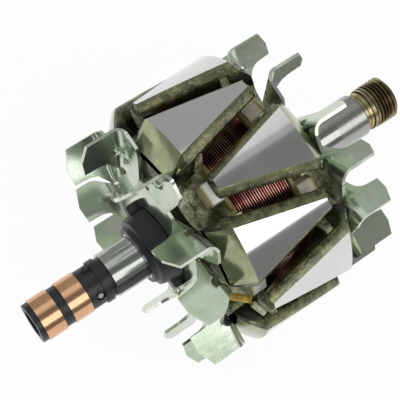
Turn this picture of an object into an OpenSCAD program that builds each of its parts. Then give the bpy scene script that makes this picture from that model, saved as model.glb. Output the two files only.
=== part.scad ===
// Rotor of a claw pole alternator: two claw poles, a field winding, two pressed fans and two slip rings.
// Millimetres. The shaft lies along X towards the drive end, +Z is up.
// The origin is on the axis, in the middle of the drive end bearing journal.

/* [Claw poles] */
// Diameter of the turned claw surface
claw_d = 97; // [92:0.5:104]
// Length of the turned surface over both poles
turned_len = 36.4; // [34:0.2:40]
// Length of the rounded shoulder between the turned surface and the pole face
shoulder_len = 5.3; // [4.5:0.1:6.5]
// Distance that a claw tip stops short of the other pole's turned edge
tip_short = 3; // [2.5:0.1:5]
// Half angle of a claw's turned surface at the root
root_half_angle = 12.6; // [11:0.1:13.2]
// Half width of a claw's turned surface at the tip
tip_half_w = 1.7; // [1.2:0.1:2.6]
// Width of the slope along the sides of a claw
side_slope_w = 2.7; // [2:0.1:3]
// Depth of the slope along the sides of a claw
side_slope_h = 2.4; // [1.8:0.1:3]
// Thickness of a claw at its tip
tip_thick = 4.6; // [3.5:0.1:6]
// Thickness of a claw at its root
root_thick = 10.6; // [9:0.1:11.2]
// Radial depth of the rounded shoulder
shoulder_drop = 7.5; // [6:0.1:8]
// Distance from a bobbin lug in to the bottom of the valley around it
valley_under = 4.5; // [4:0.1:5]
// Radius of the round at the bottom of a valley
valley_round = 9; // [8.5:0.5:9.5]

/* [Coil] */
// Axial space between the two pole discs
coil_space = 24; // [20:0.5:25]
// Radial depth of the winding, which leaves the rest to the pole core
winding_deep = 9.5; // [8.5:0.1:11.5]
// Wall of the bobbin
bobbin_wall = 1.5; // [1.2:0.1:2]
// Clearance of the bobbin flanges under the claws
flange_under = 1.4; // [1.2:0.1:3]
// Clearance of the winding under the claws
winding_under = 2.9; // [2.5:0.1:6]
// Width of the bobbin lugs at the slip ring end
narrow_lug_w = 8; // [5:0.5:9]
// Width of the bobbin lugs at the drive end
wide_lug_w = 13; // [9:0.5:14]
// Distance that the bobbin lugs reach beyond the inside of the claws
lug_over = 0.6; // [0:0.1:0.9]
// Radial thickness of the bobbin lugs
lug_thick = 5; // [4:0.1:5.5]
// Distance that the lugs stand out from the flange
lug_len = 6; // [4:0.5:7]

/* [Shaft] */
// Diameter of the shaft under the poles and fans
seat_d = 18; // [17.5:0.5:19]
// Diameter of the bearing journals
journal_d = 17; // [16.5:0.5:17]
// Diameter of the thread at the drive end
thread_d = 16; // [14:0.5:16]
// Length of the thread
thread_len = 14.2; // [12:0.2:20]
// Distance from the middle of the poles to the thread
drive_reach = 60.6; // [56:0.2:66]
// Diameter of the groove between journal and thread
relief_d = 14; // [12:0.5:14]
// Width of the groove between journal and thread
relief_w = 1.6; // [1:0.1:2]
// Distance from the middle of the poles to the outer edge of the slip ring end journal
journal_reach = 52.3; // [50:0.1:54]
// Diameter of the shaft inside the slip ring carrier
tail_d = 10; // [8:0.5:10]
// Width of the slot across the tail
slot_w = 3; // [2:0.1:4]
// Depth of the slot across the tail
slot_depth = 2; // [1:0.1:3]

/* [Slip rings] */
// Diameter of the slip rings
ring_d = 16; // [15:0.1:16.4]
// Wall of a slip ring
ring_wall = 1.2; // [0.8:0.1:1.5]
// Width of a slip ring
ring_w = 7.4; // [6:0.1:7.8]
// Width of the band between the slip rings
band_w = 3.4; // [2.5:0.1:4]
// Length of the carrier's neck from the journal to the inner slip ring
neck_len = 10.5; // [10:0.1:13]
// Width of the rim at the end of the carrier
rim_w = 2; // [1:0.1:3]
// Distance from the shaft end in to the tail face
tail_recess = 0.8; // [0.2:0.1:1.5]
// Distance that the rim and the band stay under the rings
rim_under = 0.5; // [0.2:0.1:0.8]
// Width of the ribs that carry the conductors along the journal
rib_w = 4.4; // [3:0.2:5]
// Depth of the grooves that the ribs fill
rib_depth = 2.2; // [1.5:0.1:2.5]
// Distance from the middle of the poles to the outer edge of the collar
collar_reach = 39.4; // [37:0.1:41]
// Diameter of the collar at its widest
collar_d = 29; // [26:0.5:30]
// Diameter of the hollow around a ring terminal
hollow_d = 3.8; // [3:0.1:4]
// Diameter of the lead sleeves
sleeve_d = 2.6; // [2:0.1:3]
// Room around a lead where it passes the fan
lead_room = 0.2; // [0.1:0.1:0.5]

/* [Fans] */
// Thickness of the fan sheet
sheet = 1.2; // [0.8:0.1:1.6]
// Inner radius of the bend at the foot of a blade
bend_r = 3.4; // [2.5:0.1:4]
// Radius of the fan at the drive end
drive_fan_r = 46.3; // [43:0.1:46.8]
// Height of the drive end blades above the pole face
drive_fan_h = 16.9; // [14:0.1:19]
// Radius of the fan at the slip ring end
ring_fan_r = 47; // [43:0.1:47.4]
// Height of the slip ring end blades above the pole face
ring_fan_h = 18.5; // [15:0.1:19]
// Distance that the fan hub plate stays inside the valleys
hub_inset = 2; // [1.5:0.5:4]
// Width of a fan arm beside its blade
arm_w = 8; // [6:0.5:9]
// Diameter of the rib that is pressed into the bend of a blade
rib_d = 4.4; // [3:0.1:5]
// Height of that rib above the inside of the bend at the drive end
drive_rib_h = 1; // [0.6:0.1:1]
// Height of that rib above the inside of the bend at the slip ring end
ring_rib_h = 1.5; // [0.8:0.1:1.8]

/* [Hidden] */
$fn = 96;
claw_count = 6;
claw_pitch = 360 / claw_count;
drive_claw_at = 45.5;
ring_claw_at = drive_claw_at - claw_pitch / 2;
claw_r = claw_d / 2;
seat_r = seat_d / 2;
journal_r = journal_d / 2;
tail_r = tail_d / 2;
edge_z = turned_len / 2;
face_z = edge_z + shoulder_len;
tip_z = edge_z - tip_short;
root_z = edge_z + 0.4;
disc_z = coil_space / 2;
root_half_w = claw_r * sin(root_half_angle);
claw_in_r = claw_r - root_thick;
shoulder_steps = 8;
flange_r = claw_in_r - flange_under;
winding_r = claw_in_r - winding_under;
winding_in_r = winding_r - winding_deep;
core_r = winding_in_r - bobbin_wall;
lug_r = claw_in_r + lug_over;
lug_edge = 1;
valley_r = lug_r - lug_thick - valley_under;
valley_spread = 0.235;
fan_hub_r = valley_r - hub_inset;
plate_z = face_z + sheet;
journal_edge = 0.6;
thread_edge = 1.2;
thread_r = thread_d / 2;
shaft_end = drive_reach + thread_len;
journal_end = drive_reach - journal_edge;
origin_z = (plate_z + journal_end) / 2;
ring_r = ring_d / 2;
ring_seat_r = ring_r - ring_wall;
ring_reach = journal_reach + neck_len;
rim_r = ring_r - rim_under;
ring_mid = ring_reach + ring_w;
ring_top = ring_mid + band_w;
ring_end = ring_top + ring_w;
carrier_end = ring_end + rim_w;
ridge_r = journal_r - 0.2;
neck_r = journal_r - 0.9;
ridge_near = journal_reach + 1.8;
ridge_far = ridge_near + 2.7;
rib_at = 162.8;
rib_r = journal_r - 0.1;
rib_anchor = 4;
rib_len = journal_reach - collar_reach + 1 + rib_anchor;
ear_at = 206;
ear_w = 6;
ear_h = 7;
collar_r = collar_d / 2;
terminal_at = 150.4;
terminal_z = ring_reach - 4;
terminal_d = 2;
terminal_deep = 1.2;
terminal_len = 1.1;
hollow_deep = 0.9;
slot_at = 112;
bend_out = bend_r + sheet;
bend_steps = 8;
drive_slant = 21.7;
ring_slant = 30;
// Shares of a blade's length, from the outer edge in: the cut corner and the end of the top edge
drive_corner = 0.245;
drive_inner = 0.49;
ring_corner = 0.35;
ring_inner = 0.67;
rib_share = 0.55;
// Height that the cut corner takes off a blade's outer edge
drive_drop = 1.9;
ring_drop = 3.1;
// Blade angles read from the picture, hidden blades filled in at the same spacing
drive_blades = [10.8, 40.4, 73.8, 105.8, 129.4, 153.8, 178.4, 205.8, 236, 268, 303, 338];
ring_blades = [12.8, 52.8, 89.3, 124.3, 153.8, 190.8, 219.8, 246.8, 268.8, 314.8, 337.8];

// A point given by its radius, its angle and its place along the axis
function at(r, angle, z) = [r * cos(angle), r * sin(angle), z];

// Where a lead runs: out of an ear, over the fan plate, down between two blades and into the valley at a lug
lead_z = -plate_z - sleeve_d / 2 - lead_room;
lead_end = -disc_z - lug_len - sleeve_d / 2 - lead_room;
function lead_route(ear, out, dive, end) = [
  at(collar_r - 0.8, ear, lead_z), at(fan_hub_r + 1.5, out, lead_z),
  at(valley_r + 4.5, dive, -plate_z), at(lug_r + 2, end, lead_end)
];
lug_a_at = drive_claw_at + 2 * claw_pitch;
lug_b_at = drive_claw_at + 5 * claw_pitch;
route_a = lead_route(ear_at, lug_a_at + 6.5, lug_a_at + 3, lug_a_at + 1.5);
route_b = lead_route(ear_at + 180, lug_b_at + 9, lug_b_at + 8.4, lug_b_at + 3);
lashing_d = 2.4;
lashing_z = -disc_z - lug_len;

// Turns a part drawn about Z, from the middle of the poles, into one about X, with angles from Y towards Z
module axial() rotate([90, 0, 90]) translate([0, 0, -origin_z]) children();

// Outline of a pole in the plane through the axis, from the face to the claw tips
module pole_section() {
  shoulder = [
    for (i = [0 : shoulder_steps])
      let (turn = 90 * i / shoulder_steps)
        [claw_r - shoulder_drop * (1 - sin(turn)), -face_z + shoulder_len * (1 - cos(turn))]
  ];
  tips = [[claw_r, tip_z + 1], [claw_r - tip_thick, tip_z + 1], [claw_in_r, -disc_z], [0, -disc_z]];
  polygon(concat([[0, -face_z]], shoulder, tips));
}

// One level of a claw: seen along the radius, widened on all sides by a slope
module claw_level(r, slope) {
  root = root_half_w + slope;
  tip = tip_half_w + slope;
  end = -tip_z - slope * 0.3;
  translate([r, 0, 0])
    rotate([0, 90, 0])
      linear_extrude(height = 0.01)
        polygon([
          [face_z + 1, -root], [root_z, -root], [end, -tip],
          [end, tip], [root_z, root], [face_z + 1, root]
        ]);
}

module claw() {
  hull() {
    claw_level(claw_in_r - 2, side_slope_w * 0.2);
    claw_level(claw_r - side_slope_h, side_slope_w);
    claw_level(claw_r + 0.1, 0);
  }
}

// The pole disc seen along the axis: arms with rounded valleys between them
module star() {
  difference() {
    circle(r = claw_r - side_slope_h);
    for (k = [0 : claw_count - 1])
      rotate(claw_pitch * (k + 0.5)) {
        translate([valley_r + valley_round, 0]) circle(r = valley_round);
        polygon([
          [valley_r + valley_round - 2, -valley_round + 2], [claw_r + 1, -claw_r * valley_spread],
          [claw_r + 1, claw_r * valley_spread], [valley_r + valley_round - 2, valley_round - 2]
        ]);
      }
  }
}

// A pole with its disc at negative Z and its claws reaching towards positive Z
module claw_pole() {
  difference() {
    intersection() {
      rotate_extrude() pole_section();
      union() {
        translate([0, 0, -face_z]) linear_extrude(height = face_z - disc_z) star();
        for (k = [0 : claw_count - 1]) rotate(claw_pitch * k) claw();
      }
    }
    translate([0, 0, -face_z - 1]) cylinder(r = seat_r, h = 2 * face_z);
  }
}

module slip_ring_end_pole() {
  color([0.55, 0.57, 0.5]) axial() rotate(ring_claw_at) claw_pole();
}

module drive_end_pole() {
  color([0.55, 0.57, 0.5]) axial() rotate(drive_claw_at) mirror([0, 0, 1]) claw_pole();
}

module pole_core() {
  color([0.4, 0.4, 0.4])
    axial()
      difference() {
        translate([0, 0, -disc_z]) cylinder(r = core_r, h = coil_space);
        translate([0, 0, -disc_z - 1]) cylinder(r = seat_r, h = coil_space + 2);
      }
}

// A lug that stands out from a bobbin flange into a valley, with its outer corners taken off
module lug(width) {
  translate([0, 0, disc_z - bobbin_wall / 2])
    linear_extrude(height = lug_len + bobbin_wall / 2)
      polygon([
        [lug_r - lug_thick, -width / 2], [lug_r - lug_edge, -width / 2], [lug_r, lug_edge - width / 2],
        [lug_r, width / 2 - lug_edge], [lug_r - lug_edge, width / 2], [lug_r - lug_thick, width / 2]
      ]);
}

module coil_bobbin() {
  color([0.8, 0.83, 0.78])
    axial() {
      difference() {
        union() {
          translate([0, 0, -disc_z]) cylinder(r = flange_r, h = coil_space);
          for (k = [0 : claw_count - 1]) {
            rotate(ring_claw_at + claw_pitch * k) lug(wide_lug_w);
            rotate(drive_claw_at + claw_pitch * k) mirror([0, 0, 1]) lug(narrow_lug_w);
          }
        }
        translate([0, 0, -disc_z - 1]) cylinder(r = core_r, h = coil_space + 2);
        translate([0, 0, bobbin_wall - disc_z])
          difference() {
            cylinder(r = claw_r, h = coil_space - 2 * bobbin_wall);
            translate([0, 0, -1]) cylinder(r = winding_in_r, h = coil_space);
          }
      }
    }
}

module field_winding() {
  color([0.35, 0.12, 0.08])
    axial()
      translate([0, 0, bobbin_wall - disc_z])
        difference() {
          cylinder(r = winding_r, h = coil_space - 2 * bobbin_wall);
          translate([0, 0, -1]) cylinder(r = winding_in_r, h = coil_space);
        }
}

// A point on a bend of a radius, a number of steps up from the flat arm
function bend_point(r, step) =
  let (turn = 90 * step / bend_steps) [bend_out - r * sin(turn), bend_out - r * cos(turn)];

// Sheet bent up at the foot of a blade, seen along the bend, with a tongue that sits inside the flat arm
module bent_sheet(height) {
  outside = [for (i = [1 : bend_steps]) bend_point(bend_out, i)];
  inside = [for (i = [bend_steps : -1 : 1]) bend_point(bend_r, i)];
  top = [[0, height], [sheet, height]];
  tongue = [[bend_out + 1.5, sheet - 0.15], [bend_out + 1.5, 0.15]];
  polygon(concat(outside, top, inside, tongue));
}

// The rounded rib pressed into the inside of the bend, kept within the thickness of the sheet
module bend_rib(rib_h) {
  depth = bend_r - rib_h + rib_d / 2;
  skin = bend_out - 0.3;
  arc = [for (i = [0 : bend_steps]) bend_point(skin, i)];
  intersection() {
    translate([0, bend_out - depth * sin(45), bend_out - depth * cos(45)])
      rotate([45, 0, 0])
        cylinder(d = rib_d, h = 4 * bend_out, center = true);
    rotate([90, 0, 90])
      linear_extrude(height = 2 * rib_d, center = true)
        polygon(concat(arc, [[0.3, 2 * bend_out], [2 * bend_out, 2 * bend_out], [2 * bend_out, 0.3]]));
  }
}

// A blade standing on the plane Z = 0, with its outer edge at the fan radius
module blade(fan_r, slant, height, corner, inner, outer_h, rib_h) {
  foot = fan_r - fan_hub_r;
  end = foot * inner;
  rest = foot - end;
  translate([fan_r, 0, 0])
    rotate(slant) {
      intersection() {
        rotate([90, 0, 90]) translate([0, 0, -foot]) linear_extrude(height = foot) bent_sheet(height);
        translate([0, bend_out + 4, 0])
          rotate([90, 0, 0])
            linear_extrude(height = bend_out + 8)
              polygon([
                [-foot, -1], [0.5, -1], [0, bend_out], [0, outer_h], [-foot * corner, height],
                [-end, height - 0.2], [-end - rest * 0.05, height * 0.66], [-end - rest * 0.2, height * 0.52],
                [-end - rest * 0.6, height * 0.42], [-foot, bend_out + 1]
              ]);
      }
      translate([-foot * rib_share, 0, 0]) bend_rib(rib_h);
    }
}

// The flat arm beside a blade, seen along the axis
module arm(fan_r, slant) {
  foot = fan_r - fan_hub_r;
  translate([fan_r, 0])
    rotate(slant)
      polygon([
        [-foot - 6, bend_out + 0.6], [-0.2, bend_out + 0.6], [-2, bend_out + arm_w * 0.8],
        [-7, bend_out + arm_w], [-foot + 2, bend_out + arm_w + 1], [-foot - 6, bend_out + arm_w + 3]
      ]);
}

// A pressed fan lying on the plane Z = 0, blades up
module fan(angles, fan_r, slant, height, corner, inner, outer_h, rib_h) {
  difference() {
    union() {
      linear_extrude(height = sheet) {
        circle(r = fan_hub_r);
        for (a = angles) rotate(a) arm(fan_r, slant);
      }
      for (a = angles) rotate(a) blade(fan_r, slant, height, corner, inner, outer_h, rib_h);
    }
    translate([0, 0, -1]) cylinder(r = seat_r, h = 10);
  }
}

module drive_end_fan() {
  color([0.72, 0.78, 0.7])
    axial()
      translate([0, 0, face_z])
        fan(drive_blades, drive_fan_r, drive_slant, drive_fan_h,
            drive_corner, drive_inner, drive_fan_h - drive_drop, drive_rib_h);
}

module slip_ring_end_fan() {
  color([0.72, 0.78, 0.7])
    axial()
      difference() {
        translate([0, 0, -face_z])
          mirror([0, 0, 1])
            fan(ring_blades, ring_fan_r, ring_slant, ring_fan_h,
                ring_corner, ring_inner, ring_fan_h - ring_drop, ring_rib_h);
        for (route = [route_a, route_b]) lead(route, sleeve_d + 2 * lead_room);
      }
}

// A bar along the journal, which fills a groove of the shaft
module conductor_bar(from_z, length) {
  translate([journal_r - rib_depth, -rib_w / 2, from_z]) cube([rib_depth + 1, rib_w, length]);
}

module shaft() {
  color([0.75, 0.76, 0.77])
    axial()
      difference() {
        rotate_extrude()
          polygon([
            [0, -carrier_end + tail_recess], [tail_r, -carrier_end + tail_recess], [tail_r, -journal_reach],
            [journal_r, -journal_reach], [journal_r, -collar_reach], [seat_r, -collar_reach], [seat_r, plate_z],
            [journal_r, plate_z], [journal_r, journal_end], [journal_r - journal_edge, drive_reach],
            [relief_d / 2, drive_reach], [relief_d / 2, drive_reach + relief_w],
            [thread_r, drive_reach + relief_w],
            [thread_r, shaft_end - thread_edge], [thread_r - thread_edge, shaft_end], [0, shaft_end]
          ]);
        for (turn = [0, 180]) rotate(rib_at + turn) conductor_bar(-journal_reach - 1, rib_len);
        rotate(slot_at)
          translate([-tail_d, -slot_w / 2, -carrier_end])
            cube([2 * tail_d, slot_w, tail_recess + slot_depth]);
      }
}

module slip_ring_carrier() {
  color([0.12, 0.12, 0.13])
    axial()
      difference() {
        union() {
          rotate_extrude()
            polygon([
              [tail_r, -carrier_end], [rim_r, -carrier_end], [rim_r, -ring_end], [ring_seat_r, -ring_end],
              [ring_seat_r, -ring_top], [rim_r, -ring_top], [rim_r, -ring_mid], [ring_seat_r, -ring_mid],
              [ring_seat_r, -ring_reach], [neck_r, -ring_reach], [neck_r, -ridge_far], [ridge_r, -ridge_far],
              [ridge_r, -ridge_near], [neck_r, -ridge_near], [neck_r, -journal_reach], [tail_r, -journal_reach]
            ]);
          rotate_extrude()
            polygon([
              [seat_r, -collar_reach], [collar_r - 3.6, -collar_reach], [collar_r - 2.9, -collar_reach + 1.5],
              [collar_r - 1.5, -collar_reach + 2], [collar_r, -collar_reach + 7.5],
              [collar_r, -collar_reach + 9.5], [collar_r - 1.5, -collar_reach + 9.5],
              [collar_r - 1.5, -plate_z], [seat_r, -plate_z]
            ]);
          for (turn = [0, 180])
            rotate(rib_at + turn)
              intersection() {
                conductor_bar(-journal_reach - 1, rib_len);
                translate([0, 0, -journal_reach - 1]) cylinder(r = rib_r, h = journal_reach);
              }
          for (turn = [0, 180]) rotate(rib_at + turn) conductor_bar(-collar_reach, rib_anchor);
          for (turn = [0, 180])
            rotate(ear_at + turn)
              translate([collar_r - 3, -ear_w / 2, -plate_z - ear_h]) cube([5.5, ear_w, ear_h]);
        }
        for (turn = [0, 180])
          terminal_place(turn) {
            translate([0, 0, neck_r - terminal_deep]) cylinder(d = terminal_d, h = 3);
            translate([0, 0, neck_r - hollow_deep]) cylinder(d = hollow_d, h = 3);
          }
        for (route = [route_a, route_b]) rod(route[1], route[0], sleeve_d);
      }
}

module slip_ring(from_z) {
  color([0.72, 0.45, 0.3])
    axial()
      translate([0, 0, -from_z - ring_w])
        difference() {
          cylinder(r = ring_r, h = ring_w);
          translate([0, 0, -1]) cylinder(r = ring_seat_r, h = ring_w + 2);
        }
}

module inner_slip_ring() slip_ring(ring_reach);

module outer_slip_ring() slip_ring(ring_top);

// Turns Z outwards along the radius of a ring terminal
module terminal_place(turn) {
  rotate(terminal_at + turn) translate([0, 0, -terminal_z]) rotate([0, 90, 0]) children();
}

module terminal(turn) {
  color([0.8, 0.8, 0.78])
    axial()
      terminal_place(turn) translate([0, 0, neck_r - terminal_deep]) cylinder(d = terminal_d, h = terminal_len);
}

module ring_terminal_a() terminal(0);

module ring_terminal_b() terminal(180);

// A round rod between two points, a little longer at both ends so that rods meet at a corner
module rod(from, to, d) {
  run = to - from;
  translate(from)
    rotate([0, acos(run[2] / norm(run)), atan2(run[1], run[0])])
      translate([0, 0, -d * 0.35]) cylinder(d = d, h = norm(run) + d * 0.7);
}

// A round cord along a route
module lead(route, d) {
  for (i = [1 : len(route) - 1]) rod(route[i], route[i - 1], d);
}

module lead_sleeve(route) {
  color([0.75, 0.6, 0.2]) axial() lead(route, sleeve_d);
}

module lead_sleeve_a() lead_sleeve(route_a);

module lead_sleeve_b() lead_sleeve(route_b);

module lead_lashing() {
  color([0.8, 0.82, 0.7])
    axial()
      rod(at(lug_r + 2.5, lug_a_at + 5, lashing_z - 1.2),
          at(claw_r - 4, lug_a_at + 10, lashing_z + 1),
          lashing_d);
}

shaft();
drive_end_pole();
slip_ring_end_pole();
pole_core();
coil_bobbin();
field_winding();
drive_end_fan();
slip_ring_end_fan();
slip_ring_carrier();
outer_slip_ring();
inner_slip_ring();
ring_terminal_a();
ring_terminal_b();
lead_sleeve_a();
lead_sleeve_b();
lead_lashing();
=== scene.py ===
import logging
import math
from dataclasses import dataclass
from enum import Enum, IntEnum
from functools import cache
from typing import Optional, Sequence, Union

import bmesh
import bpy
from bpy.types import ID, Material, Mesh, Node, NodeSocket as Socket, NodeTree, Object
from mathutils import Matrix, Vector


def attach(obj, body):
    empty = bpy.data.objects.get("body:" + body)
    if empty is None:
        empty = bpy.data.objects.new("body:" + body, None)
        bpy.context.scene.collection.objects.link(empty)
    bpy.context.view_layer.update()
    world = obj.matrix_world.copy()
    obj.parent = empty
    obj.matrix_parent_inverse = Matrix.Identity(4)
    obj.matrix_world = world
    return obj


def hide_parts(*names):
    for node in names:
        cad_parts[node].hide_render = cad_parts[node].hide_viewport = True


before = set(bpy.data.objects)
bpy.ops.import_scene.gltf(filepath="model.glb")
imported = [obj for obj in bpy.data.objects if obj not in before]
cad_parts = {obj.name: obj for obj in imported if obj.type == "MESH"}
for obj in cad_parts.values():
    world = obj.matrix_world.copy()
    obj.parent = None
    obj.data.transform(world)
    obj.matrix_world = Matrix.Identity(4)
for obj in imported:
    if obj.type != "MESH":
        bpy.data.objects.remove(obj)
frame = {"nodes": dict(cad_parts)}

LOG = logging.getLogger("rotor")
MM = 0.001  # a millimetre, in metres
MIDDLE = 42.35  # from the middle of the poles to the frame's origin, in mm
AROUND = 120  # points round the shaft on a turned piece
DOUBLE = 1e-7  # points closer than this are one, in metres
LAID = (0.0, math.pi / 2, 0.0)  # turn that lays the Z axis along the shaft
Colour = tuple[float, float, float]
Value = Union[float, Colour, Socket, Material]


def place(x: float, r: float, angle: float) -> Vector:
    """Gives a point of the rotor in metres.

    Args:
        x: Distance along the shaft from the middle of the poles towards the drive end, in mm.
        r: Distance from the axis, in mm.
        angle: Angle about the shaft, from +Y towards +Z, in degrees.

    Returns:
        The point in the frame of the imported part.
    """
    a = math.radians(angle)
    return Vector(((x - MIDDLE) * MM, r * math.cos(a) * MM, r * math.sin(a) * MM))


def beside(x: float, r: float, s: float, angle: float) -> Vector:
    """Gives a point that lies off to one side of an angle, in metres.

    Args:
        x: Distance along the shaft, as for place.
        r: Distance from the axis along the angle, in mm.
        s: Distance across it, in mm.
        angle: Angle about the shaft, in degrees.

    Returns:
        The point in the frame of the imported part.
    """
    return place(x, math.hypot(r, s), angle + math.degrees(math.atan2(s, r)))


def blend(t: float, points: Sequence[tuple[float, float]]) -> float:
    """Reads a broken line.

    Args:
        t: Where to read it.
        points: Corners of the line, in rising order of their first number.

    Returns:
        The height of the line at t, level beyond its ends.
    """
    if t <= points[0][0]:
        return points[0][1]
    for (a, va), (b, vb) in zip(points, points[1:]):
        if t <= b:
            return va + (vb - va) * (t - a) / (b - a)
    return points[-1][1]


def shade(colour: Colour, factor: float) -> Colour:
    """Darkens or lightens a colour by a factor."""
    return tuple(min(c * factor, 1.0) for c in colour)


def smooth(t: float) -> float:
    """Eases a number from 0 to 1 in and out."""
    t = min(max(t, 0.0), 1.0)
    return t * t * (3 - 2 * t)


def link(name: str, data: ID) -> Object:
    """Makes an object and links it to the scene.

    Args:
        name: Name of the object.
        data: Its mesh, lamp or camera.

    Returns:
        The object, at the origin.
    """
    piece = bpy.data.objects.new(name, data)
    bpy.context.scene.collection.objects.link(piece)
    return piece


class Graph:
    """A node tree that is built call by call."""

    def __init__(self, tree: NodeTree) -> None:
        """Starts with an emptied tree."""
        self.tree = tree
        tree.nodes.clear()

    def feed(self, socket: Socket, value: Value) -> None:
        """Links or sets one input.

        Args:
            socket: The input.
            value: A socket to link, or a constant.
        """
        if isinstance(value, Socket):
            self.tree.links.new(value, socket)
        elif isinstance(value, tuple) and socket.type == "RGBA":
            socket.default_value = (*value, 1.0)
        else:
            socket.default_value = value

    def node(self, kind: str, mode: str = "", **inputs: Value) -> Node:
        """Adds a node.

        Args:
            kind: Type of the node.
            mode: Its mode, if it has one to set.
            inputs: Sockets or constants by input name, with underscores for spaces.

        Returns:
            The node.
        """
        node = self.tree.nodes.new(kind)
        if mode:
            node.mode = mode
        for key, value in inputs.items():
            name = key.replace("_", " ")
            self.feed(next(s for s in node.inputs if s.name == name and s.enabled), value)
        return node

    def out(self, kind: str, mode: str = "", **inputs: Value) -> Socket:
        """Adds a node as above and gives its first output."""
        return self.node(kind, mode, **inputs).outputs[0]

    def math(self, kind: str, *values: Value) -> Socket:
        """Adds a sum.

        Args:
            kind: Operation.
            values: Its numbers or sockets, in order.

        Returns:
            The result.
        """
        node = self.tree.nodes.new("ShaderNodeMath")
        node.operation = kind
        for socket, value in zip(node.inputs, values):
            self.feed(socket, value)
        return node.outputs[0]

    def mix(self, factor: Value, a: Value, b: Value) -> Socket:
        """Mixes two colours.

        Args:
            factor: How much of the second shows.
            a: First colour.
            b: Second colour.

        Returns:
            The mixed colour.
        """
        node = self.tree.nodes.new("ShaderNodeMix")
        node.data_type = "RGBA"
        for index, value in ((0, factor), (6, a), (7, b)):
            self.feed(node.inputs[index], value)
        return node.outputs[2]


class Recipe(Graph):
    """The node tree of one finish, on object coordinates."""

    def __init__(self, name: str) -> None:
        """Starts a material with a bare principled surface.

        Args:
            name: Name of the material.
        """
        self.material = bpy.data.materials.new(name)
        self.material.use_nodes = True
        super().__init__(self.material.node_tree)
        self.surface = self.node("ShaderNodeBsdfPrincipled")
        self.end = self.node("ShaderNodeOutputMaterial", Surface=self.surface.outputs[0])
        self.where = self.node("ShaderNodeTexCoord").outputs["Object"]

    def put(self, **values: Value) -> None:
        """Sets inputs of the surface, named with underscores for spaces."""
        for key, value in values.items():
            self.feed(self.surface.inputs[key.replace("_", " ")], value)

    def noise(self, scale: float, detail: float = 3.0, rough: float = 0.5,
              stretch: Optional[Colour] = None) -> Socket:
        """Adds a noise pattern.

        Args:
            scale: Waves per metre.
            detail: Octaves.
            rough: Weight of the finer octaves.
            stretch: Factors on the coordinates that stretch the pattern, if any.

        Returns:
            The pattern's height.
        """
        where = self.where
        if stretch:
            where = self.out("ShaderNodeMapping", Vector=where, Scale=stretch)
        return self.out("ShaderNodeTexNoise", Vector=where, Scale=scale, Detail=detail,
                        Roughness=rough)

    def span(self, value: Socket, low: float, high: float, to_low: float, to_high: float) -> Socket:
        """Maps a range onto another, held at its ends.

        Args:
            value: The number to map.
            low: Start of the range read.
            high: End of the range read.
            to_low: Value at the start.
            to_high: Value at the end.

        Returns:
            The mapped number.
        """
        return self.out("ShaderNodeMapRange", Value=value, From_Min=low, From_Max=high,
                        To_Min=to_low, To_Max=to_high)

    def fade(self, pattern: Socket, low: float, high: float, a: Value, b: Value,
             most: float = 1.0) -> Socket:
        """Fades from one colour to another as a pattern rises.

        Args:
            pattern: The pattern's height.
            low: Height where the second colour begins to show.
            high: Height from which it shows most.
            a: First colour.
            b: Second colour.
            most: How much of the second shows there.

        Returns:
            The mixed colour.
        """
        return self.mix(self.span(pattern, low, high, 0.0, most), a, b)

    def radius(self) -> Socket:
        """Gives the distance from the shaft's axis, in metres.

        Returns:
            The distance at each point of the surface.
        """
        _, y, z = self.node("ShaderNodeSeparateXYZ", Vector=self.where).outputs
        squares = [self.math("MULTIPLY", v, v) for v in (y, z)]
        return self.math("SQRT", self.math("ADD", *squares))

    def bump(self, height: Socket, depth: float, strength: float = 1.0) -> None:
        """Roughens the surface by a pattern, on top of any bump already there.

        Args:
            height: The pattern.
            depth: How far it stands out, in metres.
            strength: How much of it shows.
        """
        normal = self.surface.inputs["Normal"]
        before = {"Normal": old.from_socket for old in normal.links}
        self.feed(normal, self.out("ShaderNodeBump", Distance=depth, Strength=strength,
                                   Height=height, **before))


@dataclass(frozen=True)
class Look:
    """A finish, made into a material by its own recipe."""

    name: str

    def make(self) -> Material:
        """Builds the material.

        Returns:
            The material, under the finish's name.
        """
        r = Recipe(self.name)
        self.paint(r)
        return r.material

    def paint(self, r: Recipe) -> None:
        """Fills in a recipe, which each kind of finish does in its own way."""
        raise NotImplementedError


@dataclass(frozen=True)
class TurnedSteel(Look):
    """Bright steel with fine marks that run round the shaft."""

    colour: Colour
    roughness: float
    marks: float = 2600.0
    depth: float = 0.000001
    contrast: float = 0.05
    drawn: Colour = (1.0, 0.012, 0.012)

    def paint(self, r: Recipe) -> None:
        """Fills in the recipe.

        Args:
            r: Recipe of the finish.
        """
        line = r.noise(self.marks, 4.0, 0.6, self.drawn)
        cloud = r.noise(60.0)
        low, high = (shade(self.colour, 1 + sign * self.contrast) for sign in (-1, 1))
        tone = r.fade(line, 0.35, 0.65, low, high)
        r.put(Metallic=1.0,
              Base_Color=r.fade(cloud, 0.4, 0.62, tone, shade(self.colour, 0.85), 0.3),
              Roughness=r.span(line, 0.3, 0.7, self.roughness * 0.95, self.roughness * 1.06))
        r.bump(line, self.depth)


@dataclass(frozen=True)
class CutThread(Look):
    """Thread with golden crests and painted shade in the grooves."""

    crest: Colour
    # painted shade colour at the bottom of the grooves
    groove_shade: Colour
    crest_r: float
    groove_r: float

    def paint(self, r: Recipe) -> None:
        """Fills in the recipe.

        Args:
            r: Recipe of the finish.
        """
        cloud = r.noise(260.0)
        tone = r.fade(cloud, 0.35, 0.65, self.crest, shade(self.crest, 0.6))
        # Painted shade: the colour darkens from the crest radius down to the groove radius.
        tone = r.fade(r.radius(), self.groove_r * MM, self.crest_r * MM, self.groove_shade, tone)
        r.put(Metallic=0.9, Base_Color=tone, Roughness=r.span(cloud, 0.3, 0.7, 0.22, 0.38))
        r.bump(r.noise(1500.0, stretch=(1.0, 0.1, 0.1)), 0.000004)


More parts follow.
